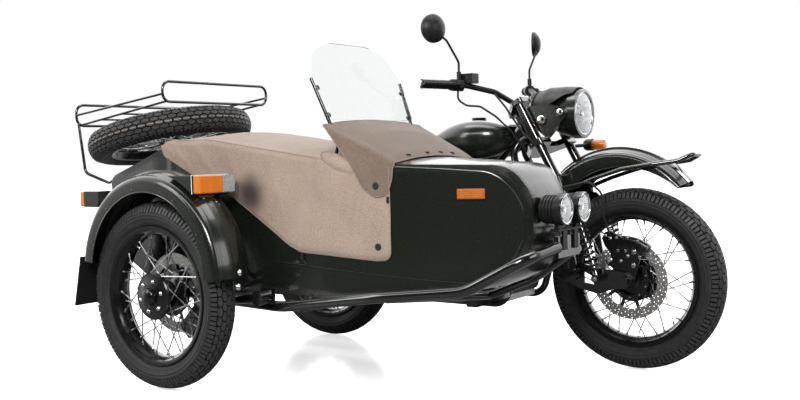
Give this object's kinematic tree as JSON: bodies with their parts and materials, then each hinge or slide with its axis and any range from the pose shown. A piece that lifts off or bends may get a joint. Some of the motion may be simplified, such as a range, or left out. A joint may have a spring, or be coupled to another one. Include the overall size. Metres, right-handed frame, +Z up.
{
  "type": "motorcycle with sidecar",
  "caption": "Motorcycle with a boat-shaped sidecar on its right: spoked wheels, leading link fork, fabric cockpit covers, rack and spare wheel over the luggage lid.",
  "frame": {"origin": "on the floor, under the middle of the whole machine's outer box", "axes": "+X is forward, +Y is the rider's left (the sidecar is on -Y), +Z is up"},
  "size_m": [2.4713, 1.6806, 1.3608],
  "materials": {
    "black_paint": "satin black enamel",
    "green_paint": "gloss dark olive enamel",
    "cast_aluminium": "cast, dull",
    "black_chrome": "dark chrome",
    "tyre_rubber": "matt",
    "black_wheel": "black rim and hub with bright spokes",
    "brake_steel": "ground steel on a black carrier",
    "spring_steel": "black springs",
    "seat_vinyl": "black vinyl",
    "soft_rubber": "matt",
    "canvas": "taupe woven canvas",
    "amber_plastic": "amber lens",
    "clear_plastic": "clear lens",
    "screen_glazing": "clear",
    "lamp_glass": "fluted",
    "black_plastic": "moulded"
  },
  "bodies": {
    "chassis": {"bike_frame": "black_paint", "engine_case": "cast_aluminium", "engine_cylinders": "cast_aluminium", "intakes": "cast_aluminium", "exhaust": "black_chrome", "fuel_tank": "green_paint", "seat": "seat_vinyl", "side_covers": "black_paint", "rear_fender": "green_paint", "tail_lamp": "black_paint", "rear_swingarm": "black_paint", "rear_shocks": "spring_steel", "footrests": "black_paint", "sidecar_frame": "black_paint", "sidecar_mounts": "black_paint", "sidecar_swingarm": "black_paint", "sidecar_shock": "spring_steel", "sidecar_body": "green_paint", "sidecar_fender": "green_paint", "mudflap": "soft_rubber", "fender_lamp_boxes": "green_paint", "amber_lenses": "amber_plastic", "clear_lens": "clear_plastic", "side_reflector": "amber_plastic", "tonneau": "canvas", "screen_apron": "canvas", "windscreen": "screen_glazing", "screen_frame": "black_paint", "fog_lamps": "black_plastic", "fog_lenses": "lamp_glass", "rear_signal_cup": "black_paint", "rear_signal_lens": "amber_plastic"},
    "steering": {"front_fork": "black_paint", "leading_link": "black_paint", "front_shocks": "spring_steel", "brake_caliper": "black_paint", "front_fender": "green_paint", "fender_guard": "black_paint", "headlamp_shell": "black_paint", "headlamp_lens": "lamp_glass", "instrument_cover": "black_paint", "handlebar": "black_paint", "control_cables": "soft_rubber", "grips": "soft_rubber", "mirrors": "black_paint", "front_signal_cup": "black_paint", "front_signal_lens": "amber_plastic"},
    "front_wheel_body": {"front_tyre": "tyre_rubber", "front_wheel": "black_wheel", "front_disc": "brake_steel"},
    "rear_wheel_body": {"rear_tyre": "tyre_rubber", "rear_wheel": "black_wheel"},
    "sidecar_wheel_body": {"sidecar_tyre": "tyre_rubber", "sidecar_wheel": "black_wheel", "sidecar_disc": "brake_steel"},
    "lid": {"trunk_lid": "green_paint", "spare_carrier": "black_paint", "spare_tyre": "tyre_rubber", "spare_wheel": "black_wheel", "luggage_rack": "black_paint"}
  },
  "joints": [
    {"name": "steering", "type": "hinge", "parent": "chassis", "child": "steering", "pos_m": [0.9377, 0.38425, 0], "axis": [-0.4695, 0, 0.8829], "range_deg": [-35, 35]},
    {"name": "front_wheel_spin", "type": "hinge", "parent": "steering", "child": "front_wheel_body", "pos_m": [0.8927, 0.38425, 0.343], "axis": [0, 1, 0], "continuous": true},
    {"name": "rear_wheel_spin", "type": "hinge", "parent": "chassis", "child": "rear_wheel_body", "pos_m": [-0.6073, 0.38425, 0.343], "axis": [0, 1, 0], "continuous": true},
    {"name": "sidecar_wheel_spin", "type": "hinge", "parent": "chassis", "child": "sidecar_wheel_body", "pos_m": [-0.4603, -0.75575, 0.343], "axis": [0, 1, 0], "continuous": true},
    {"name": "luggage_lid", "type": "hinge", "parent": "chassis", "child": "lid", "pos_m": [-0.6183, -0.31575, 0.898], "axis": [0, 1, 0], "range_deg": [0, 22]}
  ]
}
